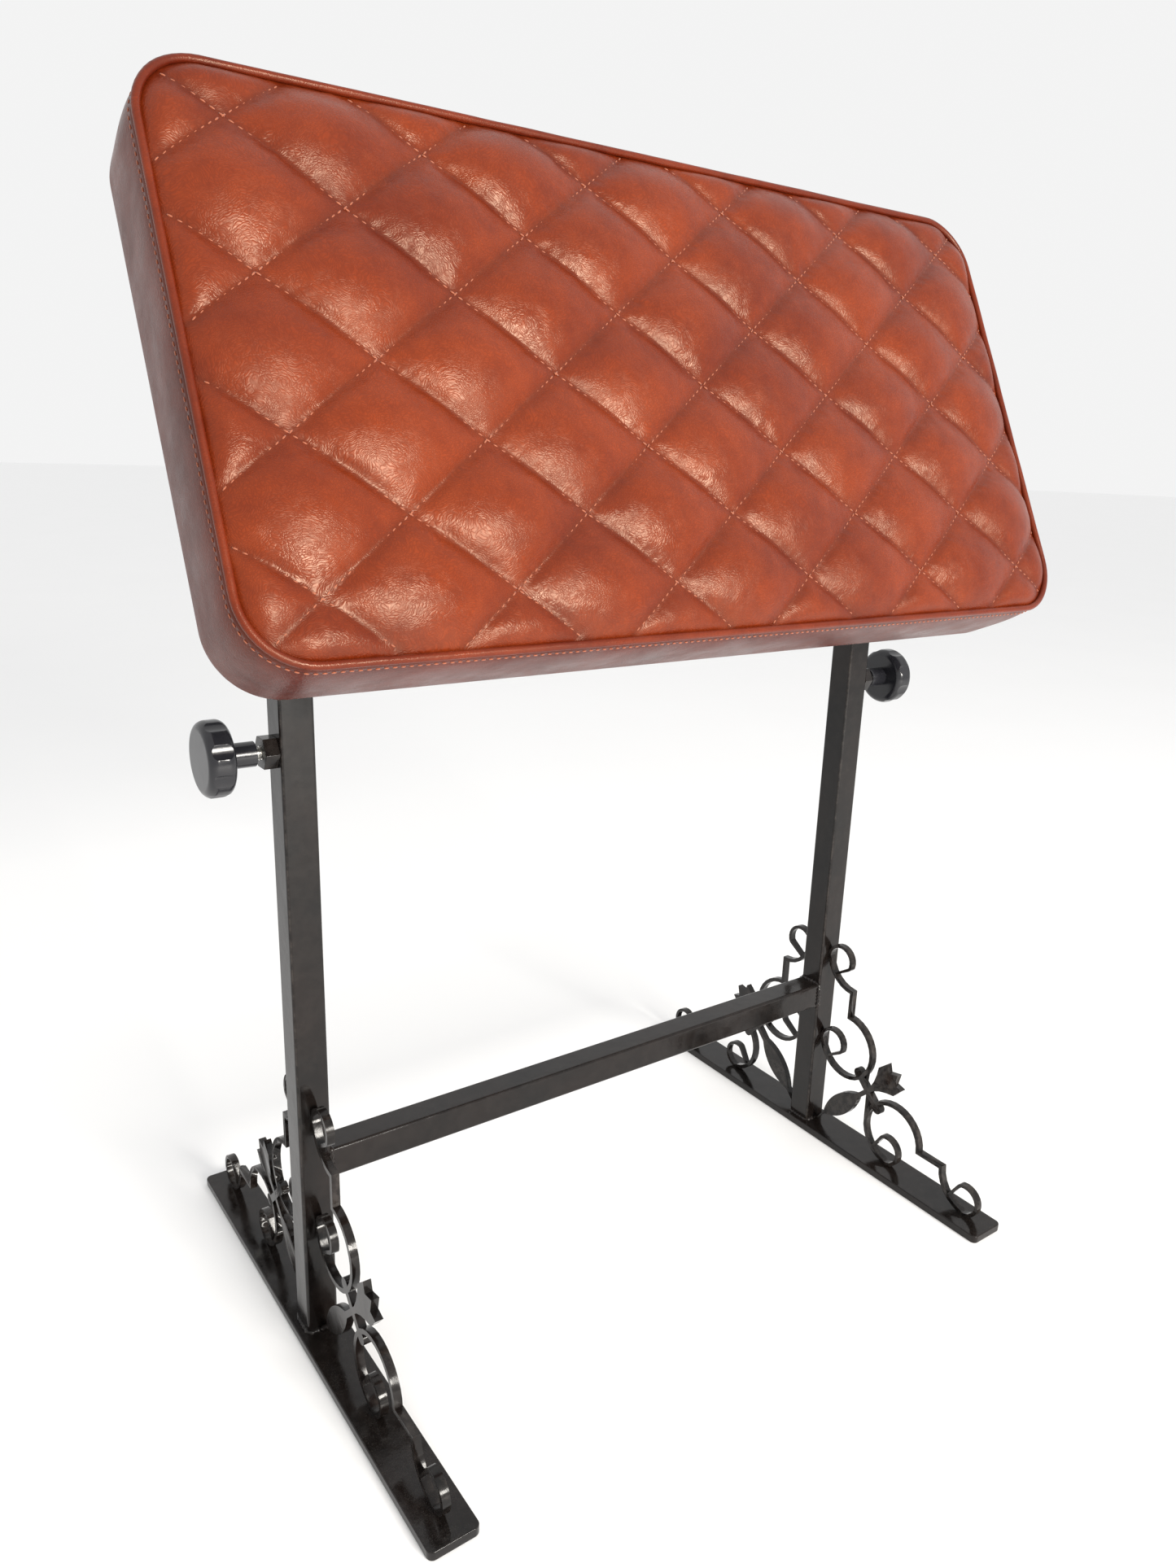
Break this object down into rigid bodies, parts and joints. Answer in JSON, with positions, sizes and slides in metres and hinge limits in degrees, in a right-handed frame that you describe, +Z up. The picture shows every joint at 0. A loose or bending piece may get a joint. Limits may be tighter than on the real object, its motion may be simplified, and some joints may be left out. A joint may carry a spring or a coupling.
{
  "type": "padded tilting rest stand",
  "caption": "Free-standing padded rest: a quilted leather pad tilts on two telescoping square posts with clamp knobs, a crossbar, flat feet and scroll brackets.",
  "frame": {"origin": "on the floor, midway between the two feet and directly below the tilt axis", "axes": "+X to the right along the pad and the tilt axis, +Y to the rear so that the padded face looks towards -Y and up, +Z up along the posts"},
  "size_m": [0.578, 0.372, 0.7167],
  "materials": {
    "black_enamel": "gloss black stoved enamel on welded steel",
    "zinc_steel": "bright zinc-plated steel",
    "knob_plastic": "moulded black, polished",
    "plug_plastic": "moulded black, fine texture",
    "nylon": "natural nylon",
    "plywood": "bare birch plywood",
    "foam": "cut upholstery foam",
    "cognac_leather": "glossy quilted cognac leather with tone-on-tone stitching",
    "piping_leather": "glossy cognac leather over cord",
    "dust_cloth": "black non-woven cloth"
  },
  "bodies": {
    "stand": {"left_foot": "black_enamel", "right_foot": "black_enamel", "left_post": "black_enamel", "right_post": "black_enamel", "crossbar": "black_enamel", "left_front_scroll": "black_enamel", "left_rear_scroll": "black_enamel", "right_front_scroll": "black_enamel", "right_rear_scroll": "black_enamel", "left_clamp_nut": "black_enamel", "right_clamp_nut": "black_enamel"},
    "left_stud": {"left_clamp_stud": "zinc_steel"},
    "left_knob": {"left_knob": "knob_plastic"},
    "right_stud": {"right_clamp_stud": "zinc_steel"},
    "right_knob": {"right_knob": "knob_plastic"},
    "lift": {"left_inner_tube": "black_enamel", "right_inner_tube": "black_enamel", "left_tube_plug": "plug_plastic", "right_tube_plug": "plug_plastic"},
    "pad": {"left_tilt_bracket": "black_enamel", "right_tilt_bracket": "black_enamel", "left_pivot_bolt": "zinc_steel", "right_pivot_bolt": "zinc_steel", "pivot_washers": "nylon", "pivot_nuts": "zinc_steel", "bracket_screws": "zinc_steel", "pad_board": "plywood", "pad_foam": "foam", "pad_cover": "cognac_leather", "pad_piping": "piping_leather", "pad_dust_cover": "dust_cloth"}
  },
  "joints": [
    {"name": "height", "type": "slide", "parent": "stand", "child": "lift", "axis": [0, 0, 1], "range_m": [0, 0.3]},
    {"name": "tilt", "type": "hinge", "parent": "lift", "child": "pad", "pos_m": [0, 0, 0.555], "axis": [1, 0, 0], "range_deg": [-64.8, 25.2]},
    {"name": "left_stud_feed", "type": "slide", "parent": "stand", "child": "left_stud", "axis": [-1, 0, 0], "range_m": [0, 0.0025]},
    {"name": "left_knob_turn", "type": "hinge", "parent": "left_stud", "child": "left_knob", "pos_m": [-0.26, 0, 0.387], "axis": [-1, 0, 0], "range_deg": [0, 720]},
    {"name": "right_stud_feed", "type": "slide", "parent": "stand", "child": "right_stud", "axis": [1, 0, 0], "range_m": [0, 0.0025]},
    {"name": "right_knob_turn", "type": "hinge", "parent": "right_stud", "child": "right_knob", "pos_m": [0.26, 0, 0.387], "axis": [1, 0, 0], "range_deg": [0, 720]}
  ],
  "couplings": [
    {"joint": "left_knob_turn", "follows": "left_stud_feed", "rad_per_m": 5026.5},
    {"joint": "right_knob_turn", "follows": "right_stud_feed", "rad_per_m": 5026.5}
  ]
}
